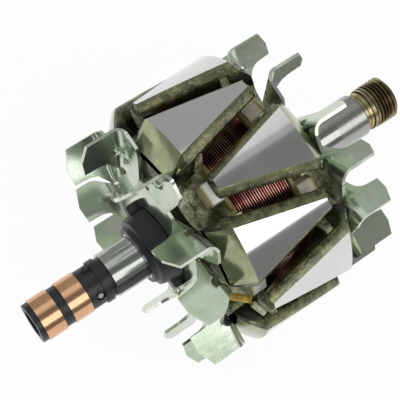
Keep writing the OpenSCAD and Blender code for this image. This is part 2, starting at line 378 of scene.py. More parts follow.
@dataclass(frozen=True)
class ForgedSteel(Look):
    """Dull olive forging scale under pools of varnish, with pale specks, and optionally painted
    shade in the deep parts and a painted highlight near the outer edge.
    """

    dark: Colour
    mid: Colour
    pale: Colour
    lumps: float = 190.0
    relief: float = 0.0007
    metal: float = 0.35
    gloss: float = 0.22
    # radius where the painted shade, with dark varnish, is darkest
    deep_r: float = 0.0
    # radius where the painted shade ends and a painted highlight begins
    sheen_r: float = 0.0
    # width of the painted highlight band
    sheen_band: float = 1.6

    def paint(self, r: Recipe) -> None:
        """Fills in the recipe.

        Args:
            r: Recipe of the finish.
        """
        grain = r.noise(1500.0, 4.0, 0.7)
        patch = r.noise(self.lumps, 4.0, 0.6)
        pool = r.noise(75.0, 2.0)
        tone = r.fade(patch, 0.4, 0.62, self.dark, self.mid)
        tone = r.fade(pool, 0.5, 0.64, tone, self.dark, 0.6)
        tone = r.fade(grain, 0.57, 0.69, tone, self.pale, 0.6)
        # Painted shade, partly dark varnish, darkens the deep parts; a painted highlight lightens
        # the outer edge.
        if self.sheen_r:
            deep, sheen_from, edge = (v * MM for v in (self.deep_r, self.sheen_r, self.sheen_r + self.sheen_band))
            tone = r.fade(r.radius(), deep, sheen_from, shade(self.dark, 0.35), tone)
            tone = r.fade(r.radius(), sheen_from, edge, tone, self.pale, 0.2)
        r.put(Base_Color=tone, Metallic=self.metal, Coat_Weight=0.6, Coat_Roughness=0.12,
              Roughness=r.span(patch, 0.35, 0.65, self.gloss * 2, self.gloss))
        r.bump(grain, 0.00012)
        r.bump(patch, self.relief, 0.7)


@dataclass(frozen=True)
class SmoothForging(Look):
    """Smooth olive tinted steel of the claw shoulders."""

    colour: Colour

    def paint(self, r: Recipe) -> None:
        """Fills in the recipe.

        Args:
            r: Recipe of the finish.
        """
        cloud = r.noise(130.0, 4.0, 0.6)
        r.put(Base_Color=r.fade(cloud, 0.35, 0.7, self.colour, shade(self.colour, 0.62)),
              Metallic=0.9, Roughness=r.span(cloud, 0.3, 0.7, 0.11, 0.2),
              Coat_Weight=0.3, Coat_Roughness=0.06)
        r.bump(r.noise(1400.0), 0.00002)
        r.bump(cloud, 0.00025, 0.5)


@dataclass(frozen=True)
class PlatedSheet(Look):
    """Zinc plated fan sheet with a pale green gloss and drawing marks."""

    colour: Colour
    dull: Colour = (0.8, 0.86, 0.74)
    speck: Colour = (0.8, 0.83, 0.76)

    def paint(self, r: Recipe) -> None:
        """Fills in the recipe.

        Args:
            r: Recipe of the finish.
        """
        cloud = r.noise(90.0, 4.0, 0.55)
        fine = r.noise(1500.0, 4.0, 0.6)
        dim = tuple(c * d for c, d in zip(self.colour, self.dull))
        tint = r.fade(cloud, 0.35, 0.65, self.colour, dim)
        r.put(Base_Color=r.fade(fine, 0.6, 0.75, tint, self.speck, 0.25), Metallic=0.92,
              Roughness=r.span(cloud, 0.3, 0.7, 0.12, 0.2))
        r.bump(cloud, 0.0002, 0.5)
        r.bump(fine, 0.000004)


@dataclass(frozen=True)
class Moulding(Look):
    """Moulded plastic with a fine grain."""

    colour: Colour
    roughness: float
    stain: Optional[Colour] = None

    def paint(self, r: Recipe) -> None:
        """Fills in the recipe.

        Args:
            r: Recipe of the finish.
        """
        cloud = r.noise(220.0)
        tint = r.fade(cloud, 0.35, 0.65, self.colour, shade(self.colour, 0.78))
        if self.stain:
            stored = r.node("ShaderNodeAttribute")
            stored.attribute_name = "stain"
            tint = r.fade(stored.outputs["Fac"], 0.25, 0.75, tint, self.stain)
        r.put(Base_Color=tint,
              Roughness=r.span(cloud, 0.3, 0.7, self.roughness, self.roughness * 1.3))
        r.bump(r.noise(1800.0), 0.000025)


@dataclass(frozen=True)
class Enamel(Look):
    """Varnished winding wire, with a painted highlight on top of the turns and painted shade
    between them.
    """

    # painted highlight colour on top of the turns
    colour: Colour
    red: Colour
    brown: Colour
    # painted shade colour between the turns
    gap_shade: Colour
    low_r: float = 34.62
    high_r: float = 34.95

    def paint(self, r: Recipe) -> None:
        """Fills in the recipe.

        Args:
            r: Recipe of the finish.
        """
        turn = r.noise(900.0, 1.0, 0.5, (1.0, 0.05, 0.05))
        tone = r.fade(turn, 0.35, 0.65, self.colour, self.red)
        tone = r.fade(r.noise(120.0), 0.48, 0.62, tone, self.brown, 0.8)
        # Painted shade between the turns, below the lower radius; the tops keep the painted
        # highlight.
        tone = r.fade(r.radius(), self.low_r * MM, self.high_r * MM, self.gap_shade, tone)
        r.put(Base_Color=tone, Metallic=1.0, Roughness=0.16)


@dataclass(frozen=True)
class Sleeving(Look):
    """Varnished woven sleeving of the field leads."""

    colour: Colour
    dark: Colour

    def paint(self, r: Recipe) -> None:
        """Fills in the recipe.

        Args:
            r: Recipe of the finish.
        """
        cloud = r.noise(420.0)
        r.put(Base_Color=r.fade(cloud, 0.4, 0.65, self.colour, self.dark), Coat_Weight=0.4,
              Coat_Roughness=0.15, Roughness=r.span(cloud, 0.3, 0.7, 0.25, 0.45))
        r.bump(r.noise(2500.0, 2.0), 0.00003)


@dataclass(frozen=True)
class PaleFloor(Look):
    """Pale floor that looks white to the camera and in reflections."""

    colour: Colour
    dim: Colour
    glow: float = 0.95

    def paint(self, r: Recipe) -> None:
        """Fills in the recipe.

        Args:
            r: Recipe of the finish.
        """
        r.put(Base_Color=r.fade(r.noise(3.0), 0.3, 0.7, self.colour, self.dim), Roughness=0.9)
        rays = r.node("ShaderNodeLightPath").outputs
        seen = r.math("MAXIMUM", rays["Is Camera Ray"], rays["Is Glossy Ray"])
        seen = r.math("MAXIMUM", seen, rays["Is Transmission Ray"])
        both = r.node("ShaderNodeMixShader")
        light = r.out("ShaderNodeEmission")
        parts = (r.math("MULTIPLY", seen, self.glow), r.surface.outputs[0], light)
        for socket, value in zip(both.inputs, parts):
            r.feed(socket, value)
        r.feed(r.end.inputs[0], both.outputs[0])


class Finish(Enum):
    """The finishes of the rotor and the floor."""

    CLAW_FACE = TurnedSteel("claw_face", (0.70, 0.71, 0.69), 0.10, 900.0, 0.0000002, 0.015)
    # Flanks: the last two numbers set painted shade in the deep parts and a painted highlight near
    # the outer edge.
    CLAW_SIDE = ForgedSteel("claw_side", (0.026, 0.028, 0.007), (0.215, 0.220, 0.080),
                            (0.58, 0.60, 0.36), 240.0, 0.0005, 0.7, 0.2, 42.0, 46.8)
    POLE_DISC = ForgedSteel("pole_disc", (0.06, 0.062, 0.015), (0.74, 0.77, 0.50),
                            (0.90, 0.92, 0.78), 170.0, 0.0028, 0.3, 0.09)
    CLAW_SHOULDER = SmoothForging("claw_shoulder", (0.39, 0.43, 0.255))
    CORE = ForgedSteel("core", (0.03, 0.03, 0.025), (0.08, 0.08, 0.07), (0.2, 0.2, 0.18))
    JOURNAL = TurnedSteel("journal", (0.44, 0.45, 0.43), 0.16, 2200.0, contrast=0.06)
    JOURNAL_BAND = TurnedSteel("journal_band", (0.42, 0.43, 0.40), 0.26, 1800.0)
    # Thread: golden crests, with painted shade darkening the grooves.
    THREAD = CutThread("thread", (0.40, 0.33, 0.18), (0.030, 0.024, 0.012), 7.95, 7.25)
    FAN = PlatedSheet("fan", (0.59, 0.648, 0.56))
    # Painted highlight: a brighter sheet finish on the cut edges.
    FAN_EDGE = PlatedSheet("fan_edge", (0.68, 0.71, 0.65))
    BOBBIN = Moulding("bobbin", (0.86, 0.89, 0.80), 0.38, (0.24, 0.20, 0.05))
    CARRIER = Moulding("carrier", (0.013, 0.015, 0.016), 0.34)
    RING = TurnedSteel("ring", (0.74, 0.43, 0.25), 0.17, 2400.0)
    RELIEF = TurnedSteel("relief", (0.50, 0.42, 0.24), 0.26, 2200.0, contrast=0.06)
    TAIL = TurnedSteel("tail", (0.20, 0.20, 0.20), 0.3)
    TERMINAL = TurnedSteel("terminal", (0.42, 0.42, 0.40), 0.22)
    # Wire: painted highlight, copper red, brown and painted shade between the turns.
    WIRE = Enamel("wire", (0.84, 0.50, 0.42), (0.42, 0.12, 0.08), (0.24, 0.06, 0.04),
                  (0.06, 0.010, 0.006))
    SLEEVE = Sleeving("sleeve", (0.56, 0.40, 0.05), (0.34, 0.19, 0.02))
    LASHING = Sleeving("lashing", (0.55, 0.56, 0.40), (0.30, 0.31, 0.18))
    FLOOR = PaleFloor("floor", (0.9, 0.9, 0.9), (0.88, 0.88, 0.88))

    @cache
    def material(self) -> Material:
        """Gives the finish's material, made at the first call."""
        return self.value.make()


class Draft:
    """Points and faces of a piece as it is built."""

    def __init__(self) -> None:
        """Starts empty."""
        self.points: list[Vector] = []
        self.faces: list[tuple[int, ...]] = []
        self.tags: list[int] = []
        self.marks: list[float] = []

    def add(self, points: Sequence[Vector], mark: float = 0.0) -> list[int]:
        """Adds points.

        Args:
            points: The points, in metres.
            mark: Number stored on them for the finish.

        Returns:
            Their indices.
        """
        start = len(self.points)
        self.points.extend(points)
        self.marks.extend([mark] * len(points))
        return list(range(start, start + len(points)))

    def face(self, ids: Sequence[int], tag: int = 0) -> None:
        """Adds one face of a finish."""
        self.faces.append(tuple(ids))
        self.tags.append(tag)

    def skin(self, rows: Sequence[Sequence[int]], tags: Union[int, Sequence[int]] = 0,
             closed: bool = True, loop: bool = False, capped: bool = False) -> None:
        """Joins rows of points with four sided faces.

        Args:
            rows: Rows of equally many point indices.
            tags: Finish of all faces, or of each strip along the rows.
            closed: Whether each row closes on itself.
            loop: Whether the last row joins the first.
            capped: Whether the ends are closed.
        """
        n = len(rows[0])
        for a, b in list(zip(rows, rows[1:])) + ([(rows[-1], rows[0])] if loop else []):
            for j in range(n if closed else n - 1):
                k = (j + 1) % n
                tag = tags if isinstance(tags, int) else tags[j]
                self.face((a[j], a[k], b[k], b[j]), tag)
        if capped:
            self.face(list(reversed(rows[0])))
            self.face(rows[-1])

    def revolve(self, profile: Sequence[tuple[float, float]], mark: float = 0.0) -> None:
        """Turns a closed profile about the shaft.

        Args:
            profile: Its corners, as distances along the shaft and from the axis, in mm.
            mark: Number stored on the points for the finish.
        """
        turns = [360 * k / AROUND for k in range(AROUND)]
        rows = [self.add([place(x, r, turn) for x, r in profile], mark) for turn in turns]
        self.skin(rows, loop=True)

    def build(self, name: str, finishes: Sequence[Finish], angle: float = 35.0,
              mark: Optional[str] = None) -> Object:
        """Makes the object.

        Args:
            name: Name of the piece.
            finishes: Finishes that the face tags count through.
            angle: Edges flatter than this are shaded smooth, in degrees.
            mark: Name under which the points' numbers are stored, if any.

        Returns:
            The new object, linked to the scene.
        """
        mesh = bpy.data.meshes.new(name)
        mesh.from_pydata([p[:] for p in self.points], [], self.faces)
        for finish in finishes:
            mesh.materials.append(finish.material())
        mesh.polygons.foreach_set("material_index", self.tags)
        if mark:
            stored = mesh.attributes.new(mark, "FLOAT", "POINT")
            stored.data.foreach_set("value", self.marks)
        tidy(mesh, angle)
        return link(name, mesh)


def tidy(mesh: Mesh, angle: float) -> None:
    """Merges doubles, points faces outwards and shades a mesh.

    Args:
        mesh: The mesh.
        angle: Edges flatter than this are shaded smooth, in degrees.
    """
    bm = bmesh.new()
    bm.from_mesh(mesh)
    bmesh.ops.remove_doubles(bm, verts=bm.verts, dist=DOUBLE)
    bmesh.ops.dissolve_degenerate(bm, edges=bm.edges, dist=DOUBLE)
    bmesh.ops.recalc_face_normals(bm, faces=bm.faces)
    for f in bm.faces:
        f.smooth = True
    for e in bm.edges:
        e.smooth = len(e.link_faces) != 2 or e.calc_face_angle(0.0) < math.radians(angle)
    bm.to_mesh(mesh)
    bm.free()
    mesh.update()


def bevel(piece: Object, width: float, angle: float, segments: int = 2) -> None:
    """Rounds the sharp edges of a piece and keeps the result as its mesh.

    Args:
        piece: The piece.
        width: Width of the round, in mm.
        angle: Edges sharper than this are rounded, in degrees.
        segments: Faces across it.
    """
    mod = piece.modifiers.new("bevel", "BEVEL")
    mod.width = width * MM
    mod.segments = segments
    mod.limit_method = "ANGLE"
    mod.angle_limit = math.radians(angle)
    mod.harden_normals = True
    keep_result(piece)


def keep_result(piece: Object) -> None:
    """Turns a piece's modifiers into its plain mesh.

    Args:
        piece: The piece, whose modifiers are removed.
    """
    bpy.context.view_layer.update()
    graph = bpy.context.evaluated_depsgraph_get()
    made = bpy.data.meshes.new_from_object(piece.evaluated_get(graph))
    old = piece.data
    piece.modifiers.clear()
    piece.data = made
    made.name = piece.name
    bpy.data.meshes.remove(old)


def copy_solid(node: str, name: str, finishes: Sequence[Finish],
               cuts: Sequence[float] = ()) -> Object:
    """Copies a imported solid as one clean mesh.

    Args:
        node: Name of the solid.
        name: Name of the copy.
        finishes: Finishes of the copy.
        cuts: Places along the shaft where its faces are split, in mm.

    Returns:
        The copy, linked to the scene.
    """
    bm = bmesh.new()
    bm.from_mesh(frame["nodes"][node].data)
    bmesh.ops.remove_doubles(bm, verts=bm.verts, dist=20 * DOUBLE)
    flat = math.radians(0.5)
    bmesh.ops.dissolve_limit(bm, angle_limit=flat, verts=bm.verts, edges=bm.edges)
    for x in cuts:
        whole = bm.verts[:] + bm.edges[:] + bm.faces[:]
        bmesh.ops.bisect_plane(bm, geom=whole, dist=DOUBLE, plane_co=place(x, 0, 0),
                               plane_no=(1, 0, 0))
    mesh = bpy.data.meshes.new(name)
    bm.to_mesh(mesh)
    bm.free()
    mesh.materials.clear()
    for finish in finishes:
        mesh.materials.append(finish.material())
    return link(name, mesh)


class NodeTool(Graph):
    """A Geometry Nodes tree made in the script and run on a bare line."""

    def __init__(self, name: str, **values: float) -> None:
        """Starts a tree with named inputs.

        Args:
            name: Name of the tree and of the piece.
            values: Lengths in metres, or whole numbers, by input name.
        """
        super().__init__(bpy.data.node_groups.new(name, "GeometryNodeTree"))
        self.name = name
        self.values = values
        sockets = self.tree.interface.new_socket
        sockets("Geometry", in_out="INPUT", socket_type="NodeSocketGeometry")
        for key, value in values.items():
            kind = "NodeSocketInt" if isinstance(value, int) else "NodeSocketFloat"
            sockets(key, in_out="INPUT", socket_type=kind)
        sockets("Geometry", in_out="OUTPUT", socket_type="NodeSocketGeometry")
        self.given = self.node("NodeGroupInput").outputs

    def along(self, key: str) -> Socket:
        """Gives a named length as a step along the shaft."""
        return self.out("ShaderNodeCombineXYZ", X=self.given[key])

    def run(self, geometry: Socket, finish: Finish, angle: float = 40.0,
            path: Sequence[tuple[float, float, float]] = ()) -> Object:
        """Ends the tree, runs it and keeps the result.

        Args:
            geometry: What the tree makes.
            finish: Its finish.
            angle: Edges flatter than this are shaded smooth, in degrees.
            path: Corners of a line that the tree starts from, if any.

        Returns:
            A piece with a plain mesh.
        """
        real = self.out("GeometryNodeRealizeInstances", Geometry=geometry)
        dressed = self.out("GeometryNodeSetMaterial", Geometry=real, Material=finish.material())
        self.node("NodeGroupOutput", Geometry=dressed)
        line = bpy.data.meshes.new(self.name)
        line.from_pydata(list(path), [(k, k + 1) for k in range(len(path) - 1)], [])
        piece = link(self.name, line)
        mod = piece.modifiers.new(self.name, "NODES")
        mod.node_group = self.tree
        for item in self.tree.interface.items_tree:
            if item.in_out == "INPUT" and item.name in self.values:
                mod[item.identifier] = self.values[item.name]
        keep_result(piece)
        tidy(piece.data, angle)
        return piece


def ship(piece: Object, slot: str, *nodes: str) -> None:
    """Parents a finished piece to the root body and hides the nodes that it stands for.

    Args:
        piece: The piece.
        slot: Not used.
        nodes: Nodes that it stands for, if any.
    """
    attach(piece, "root")
    if nodes:
        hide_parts(*nodes)
    LOG.info("%s: %d faces", piece.name, len(piece.data.polygons))


class Steel(IntEnum):
    """Surfaces of a pole, which count through its finishes."""

    FACE = 0
    SIDE = 1
    SHOULDER = 2
    DISC = 3


@dataclass
class ClawPole:
    """A forged pole: a star shaped disc with six claws."""

    node: str
    first: float  # angle of the first claw
    side: int  # 1 where the claws point to the drive end, -1 where they point away
    claws: int = 6
    claw_r: float = 48.5
    edge: float = 18.2  # where the shoulder starts, from the middle of the poles
    face: float = 23.5
    tip: float = 15.2
    disc: float = 12.0
    root_half: float = 10.58
    tip_half: float = 1.7
    tip_round: float = 0.7  # how far the rounded tip reaches on
    tip_pinch: float = 0.8  # share of the width that it keeps there
    ledge: float = 0.8  # how far a claw's root is let into the disc
    slope_w: float = 2.7
    slope_h: float = 2.4
    tip_thick: float = 4.6
    root_in: float = 37.9
    shoulder: float = 7.5  # how far the shoulder drops
    bow: float = 0.3  # how much of that drop comes late
    rim_r: float = 45.5
    notch_half: float = 11.2
    valley_r: float = 29.0
    valley_round: float = 9.0
    seat_r: float = 9.0
    across: int = 13  # points across a claw's face

    def section(self, x: float, turn: float, pinch: float = 1.0) -> tuple[list[Vector], list[int]]:
        """Draws one cross section of a claw.

        Args:
            x: Place from the face (negative) to the tip.
            turn: Angle of the claw's middle.
            pinch: Share of the full width, under 1 where the tip rounds off.

        Returns:
            The points in order and the finish of the strip after each point.
        """
        u = max((-self.edge - x) / (self.face - self.edge), 0.0)
        crown = self.claw_r - self.shoulder * ((1 - self.bow) * u + self.bow * u * u)
        taper = [(-self.edge - 0.4, self.root_half), (self.tip, self.tip_half)]
        half = blend(x, taper) * pinch
        under = [(-self.disc, self.root_in), (self.tip + 1, self.claw_r - self.tip_thick)]
        low = blend(x, under) - (self.ledge if x < -self.disc else 0.0)
        drop = self.slope_h * blend(x, [(-self.face, 0.25), (-self.edge, 1.0)])
        spread = self.slope_w * blend(x, [(-self.face, 0.35), (-self.edge, 1.0)])
        top = Steel.SHOULDER if x < -self.edge - 0.01 else Steel.FACE
        points = [(crown, half * (2 * k / (self.across - 1) - 1)) for k in range(self.across)]
        flank = [(crown - drop * t * (0.45 + 0.55 * t), half + spread * t)
                 for t in (0.25, 0.5, 0.75, 1.0)]
        flank += [(crown - drop - 0.9, half + spread * 1.02), (low, half + spread * 0.35)]
        points += flank + [(r, -s) for r, s in reversed(flank)]
        tags = [top] * (self.across - 1) + [Steel.SIDE] * (2 * len(flank) + 1)
        around = [turn + math.degrees(math.asin(s / r)) for r, s in points]
        return [place(self.side * x, r, a) for (r, _), a in zip(points, around)], tags

    def claw(self, d: Draft, turn: float) -> None:
        """Adds one claw.

        Args:
            d: Draft of the pole.
            turn: Angle of the claw's middle.
        """
        stations = [-self.face + (self.face - self.edge) * k / 10 for k in range(11)]
        stations.append(-self.edge + 0.05)
        stations += [-self.edge + (self.tip + self.edge) * k / 14 for k in range(1, 15)]
        drawn = [self.section(x, turn) for x in stations]
        rings = [d.add(points) for points, _ in drawn]
        for a, b, (_, tags) in zip(rings, rings[1:], drawn):
            d.skin([a, b], tags)
        d.face(list(reversed(rings[0])), Steel.SHOULDER)
        end, _ = self.section(self.tip + self.tip_round, turn, self.tip_pinch)
        last = d.add(drawn[-1][0][:self.across] + end[self.across:])
        d.skin([rings[-1], last], Steel.SIDE)
        d.face(last, Steel.SIDE)

    def star(self, d: Draft) -> None:
        """Adds the pole disc with its rounded valleys.

        Args:
            d: Draft of the pole.
        """
        outline: list[tuple[float, float]] = []
        pitch = 360 / self.claws
        half = math.degrees(math.asin(self.notch_half / self.rim_r))
        for n in range(self.claws):
            middle = self.first + (n + 0.5) * pitch
            outline.append((self.rim_r, middle - half))
            for k in range(13):
                a = math.radians(-90 - 15 * k)
                x = self.valley_r + self.valley_round + self.valley_round * math.cos(a)
                y = self.valley_round * math.sin(a)
                outline.append((math.hypot(x, y), middle + math.degrees(math.atan2(y, x))))
            for k in range(4):
                outline.append((self.rim_r, middle + half + (pitch - 2 * half) * k / 4))
        rows = []
        for x, cut in ((-self.face, self.shoulder - 2.6), (-self.face + 0.6, self.shoulder - 3.6),
                       (-self.edge - 2.8, 0.8), (-self.disc, 0.0)):
            ring = [place(self.side * x, min(r, self.rim_r - cut), a) for r, a in outline]
            rows.append(d.add(ring))
        d.skin(rows, Steel.DISC)
        seats = []
        for row, x in ((rows[0], -self.face), (rows[-1], -self.disc)):
            seats.append(d.add([place(self.side * x, self.seat_r, a) for _, a in outline]))
            d.skin([row, seats[-1]], Steel.DISC)
        d.skin(seats, Steel.SIDE)

    def build(self) -> None:
        """Builds and dresses the pole, which stands for its node."""
        d = Draft()
        for n in range(self.claws):
            self.claw(d, self.first + n * 360 / self.claws)
        self.star(d)
        finishes = (Finish.CLAW_FACE, Finish.CLAW_SIDE, Finish.CLAW_SHOULDER, Finish.POLE_DISC)
        piece = d.build(self.node + "_steel", finishes, 22.0)
        bevel(piece, 0.3, 28.0)
        ship(piece, "pole_steel", self.node)


@dataclass
class FieldCoil:
    """The winding and its bobbin."""

    space: float = 24.0
    wall: float = 1.5
    flange_r: float = 36.5
    core_r: float = 24.0
    wound_r: float = 35.0
    turns: int = 23
    bare: float = 0.86  # a wire's share of its pitch
    sunk: float = 0.62  # depth of the body under the turns, in pitches
    slack: float = 0.02
    lugs: int = 6
    narrow: float = 8.0
    wide: float = 13.0
    lug_r: float = 38.5
    lug_len: float = 6.0
    lug_deep: float = 5.0
    corner: float = 0.7
    drive_first: float = 15.5
    ring_first: float = 45.5
    flange_stain: float = 0.8
    drive_stain: float = 0.52

    def winding(self) -> None:
        """Winds the coil: a body and a row of turns side by side on it."""
        room = self.space - 2 * self.wall
        wire = room / self.turns
        tool = NodeTool("winding_turns", Pitch=wire * MM, Wire=wire / 2 * self.bare * MM,
                        Radius=(self.wound_r - wire / 2) * MM,
                        Start=(-room / 2 + wire / 2 - MIDDLE) * MM,
                        Body=(self.wound_r - wire * self.sunk) * MM, Room=(room - self.slack) * MM,
                        Middle=-MIDDLE * MM, Turns=self.turns)
        given = tool.given
        line = tool.out("GeometryNodeMeshLine", "OFFSET", Count=given["Turns"],
                        Start_Location=tool.along("Start"), Offset=tool.along("Pitch"))
        path, rim = (tool.out("GeometryNodeCurvePrimitiveCircle", Resolution=count,
                              Radius=given[key])
                     for count, key in ((AROUND, "Radius"), (12, "Wire")))
        ring = tool.out("GeometryNodeCurveToMesh", Curve=path, Profile_Curve=rim)
        turned = tool.out("GeometryNodeTransform", Geometry=ring, Rotation=LAID)
        laid = tool.out("GeometryNodeInstanceOnPoints", Points=line, Instance=turned)
        body = tool.out("GeometryNodeMeshCylinder", Vertices=AROUND, Radius=given["Body"],
                        Depth=given["Room"])
        inside = tool.out("GeometryNodeTransform", Geometry=body, Rotation=LAID,
                          Translation=tool.along("Middle"))
        both = tool.node("GeometryNodeJoinGeometry")
        for part in (laid, inside):
            tool.feed(both.inputs[0], part)
        piece = tool.run(both.outputs[0], Finish.WIRE)
        ship(piece, "enamelled_copper", "field_winding")

    def lug(self, d: Draft, angle: float, width: float, side: int) -> None:
        """Adds one lug that stands out from a flange.

        Args:
            d: Draft of the bobbin.
            angle: Middle of the lug about the shaft.
            width: Width of the lug.
            side: 1 at the drive end, -1 at the slip ring end.
        """
        rows = []
        base = self.space / 2 - self.wall / 2
        end = self.lug_len + self.wall / 2
        least = self.drive_stain if side > 0 else 0.0
        for x, draw, stain in ((0.0, 0.0, 0.0), (self.lug_len * 0.55, 0.0, 0.0),
                               (self.lug_len * 0.86, 0.0, 0.35), (end - 0.35, 0.0, 0.9),
                               (end, 0.5, 0.6)):
            w, hi = width / 2 - draw, self.lug_r - draw
            lo, c = self.lug_r - self.lug_deep + draw * 0.4, self.corner
            corners = ((lo, -w), (hi - c, -w), (hi, -w + c), (hi, 0.0), (hi, w - c), (hi - c, w),
                       (lo, w))
            ring = [beside(side * (base + x), r, s, angle) for r, s in corners]
            rows.append(d.add(ring, max(stain, least)))
        d.skin(rows, capped=True)

    def bobbin(self) -> None:
        """Builds and dresses the bobbin, which stands for its node."""
        d = Draft()
        half, inner = self.space / 2, self.space / 2 - self.wall
        floor = self.core_r + self.wall
        d.revolve([(-half, self.core_r), (-half, self.flange_r), (-inner, self.flange_r),
                   (-inner, floor), (inner, floor), (inner, self.flange_r), (half, self.flange_r),
                   (half, self.core_r)], self.flange_stain)
        for n in range(self.lugs):
            turn = n * 360 / self.lugs
            self.lug(d, self.drive_first + turn, self.wide, 1)
            self.lug(d, self.ring_first + turn, self.narrow, -1)
        piece = d.build("bobbin_moulding", [Finish.BOBBIN], 30.0, "stain")
        bevel(piece, 0.25, 40.0)
        ship(piece, "bobbin_plastic", "coil_bobbin")


@dataclass
class SheetRow:
    """A row of points across a fan arm or blade."""

    n: float  # distance out from the blade's back
    h: float  # height over the pole's face
    out_n: float  # direction out of the sheet
    out_h: float
    s_in: float  # inner end, from the blade's outer edge inwards (negative)
    s_out: float  # outer end
    t: float  # distance along the sheet from the start of the bend, negative on the arm


@dataclass
class PressedFan:
    """A fan pressed from one sheet: a hub plate with arms and bent up blades."""

    node: str
    side: int  # 1 at the drive end, -1 at the slip ring end
    angles: Sequence[float]
    fan_r: float
    slant: float
    height: float
    corner: float  # share of a blade's length that its cut corner takes
    inner: float  # share of that length where the top edge ends
    drop: float
    rib_h: float
    ridge: float = 0.0
    dish: float = 0.0  # how far the plate stands out near the shaft
    rise: float = 0.0  # how far it stands out at its edge
    notched: Sequence[float] = ()
    notch: float = 8.0
    notch_run: float = 13.0  # length of sheet over which a notch fades out
    dish_r: float = 17.0
    dish_run: float = 27.0
    dish_fade: float = 9.0  # length of blade over which the dish fades out
    rib_half: float = 2.2
    rib_at: float = 0.55
    face: float = 23.5
    sheet: float = 1.2
    bend_r: float = 3.4
    hub_r: float = 27.0
    seat_r: float = 9.0
    eye_r: float = 12.6
    rings: Sequence[float] = (14.6, 17.0, 19.0, 21.0, 23.0, 25.0)
    arm_w: float = 8.0
    ridge_pitch: float = 2.9
    across: int = 44

    @property
    def foot(self) -> float:
        """Length of a blade along its bend."""
        return self.fan_r - self.hub_r

    @property
    def bend(self) -> float:
        """Height at which a blade stands upright."""
        return self.bend_r + self.sheet

    def lift(self, r: float) -> float:
        """Gives how far the sheet is dished out at a radius."""
        flat = smooth((r - self.dish_r) / self.dish_run)
        return self.rise + (self.dish - self.rise) * (1 - flat)

    def edge_in(self, h: float) -> float:
        """Gives the inner end of the blade at a height.

        Args:
            h: Height over the pole's face.

        Returns:
            The place, from the blade's outer edge inwards (negative).
        """
        end, rest = self.foot * self.inner, self.foot * (1 - self.inner)
        points = [(self.bend, -self.foot), (self.bend + 1.0, -self.foot)]
        points += [(self.height * up, -end - rest * share)
                   for up, share in ((0.42, 0.6), (0.52, 0.2), (0.66, 0.05), (1.0, 0.0))]
        return blend(h, points)

    def edge_out(self, h: float) -> float:
        """Gives the outer end of the blade at a height."""
        return blend(h, [(0.0, 0.4), (self.bend, 0.0), (self.height - self.drop, 0.0),
                         (self.height, -self.foot * self.corner)])

    def gusset(self, s: float, t: float) -> float:
        """Gives how far the rib pressed into the bend lifts the sheet.

        Args:
            s: Place along the blade, from its outer edge inwards (negative).
            t: Distance along the sheet from the start of the bend, up the blade.

        Returns:
            Lift towards the inside of the bend, in mm.
        """
        off = min(abs(s + self.foot * self.rib_at) / self.rib_half, 1.0)
        rib = self.rib_h - self.rib_half * (1 - math.sqrt(1 - off * off))
        past = max(-t, t - self.bend_r * math.pi / 2, 0.0)
        lean = abs(min(max(t / self.bend_r, 0.0), math.pi / 2) - math.pi / 4)
        lift = self.bend_r - (self.bend_r - rib) / math.cos(lean) - past
        return 0.5 * (lift + math.sqrt(lift * lift + 0.2)) * (1 - smooth((off - 0.6) * 2.5))

    def ripple(self, s: float, t: float) -> float:
        """Gives the height of the drawing ridges on a flat arm.

        Args:
            s: Place along the blade, from its outer edge inwards (negative).
            t: Distance along the sheet from the start of the bend, negative on the arm.

        Returns:
            Lift of the sheet, in mm.
        """
        if t >= 0 or not self.ridge:
            return 0.0
        across = smooth(-t / 1.5) * smooth((self.arm_w + t) / 2.5)
        along = smooth(-s / 4.0) * smooth((s + self.foot + 2) / 3.0)
        return self.ridge * across * along * math.sin(2 * math.pi * s / self.ridge_pitch)

    def rows(self) -> list[SheetRow]:
        """Lays out an arm and its blade.

        Returns:
            The rows from the arm's far side through the bend to the blade's top.
        """
        w, foot, bend, rows = self.arm_w, self.foot, self.bend, []
        shape = [(0.0, 0.0), (0.6, -0.2), (w * 0.8, -2.0), (w, -7.0), (w + 1, 2 - foot),
                 (w + 3, -foot - 6)]
        for k in range(15):
            past = (w + 2.4) * (1 - k / 14) + 0.15
            rows.append(SheetRow(bend + past, self.sheet - 0.02, 0.0, 1.0, -foot - 6,
                                 blend(past, shape), -past))
        for k in range(1, 13):
            a = math.pi / 2 * k / 12
            n, h = bend - self.bend_r * math.sin(a), bend - self.bend_r * math.cos(a)
            rows.append(SheetRow(n, h, math.sin(a), math.cos(a), self.edge_in(h),
                                 self.edge_out(h), self.bend_r * a))
        steps = [bend + (self.height - bend) * k / 14 for k in range(1, 15)]
        for h in sorted(steps + [self.height - self.drop]):
            rows.append(SheetRow(self.sheet, h, 1.0, 0.0, self.edge_in(h), self.edge_out(h),
                                 self.bend_r * math.pi / 2 + h - bend))
        return rows

    def point(self, row: SheetRow, s: float, off: float, angle: float) -> Vector:
        """Gives a point of an arm or blade.

        Args:
            row: Row that it is on.
            s: Place along the row.
            off: Distance out of the sheet's inner face.
            angle: Angle of the blade's outer edge about the shaft.

        Returns:
            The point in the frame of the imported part.
        """
        turn = math.radians(self.slant)
        n, h = row.n + row.out_n * off, row.h + row.out_h * off
        y = self.fan_r + s * math.cos(turn) - n * math.sin(turn)
        z = s * math.sin(turn) + n * math.cos(turn)
        out = self.face + h + self.lift(math.hypot(y, z)) * (1 - smooth(row.t / self.dish_fade))
        return beside(self.side * out, y, z, angle)

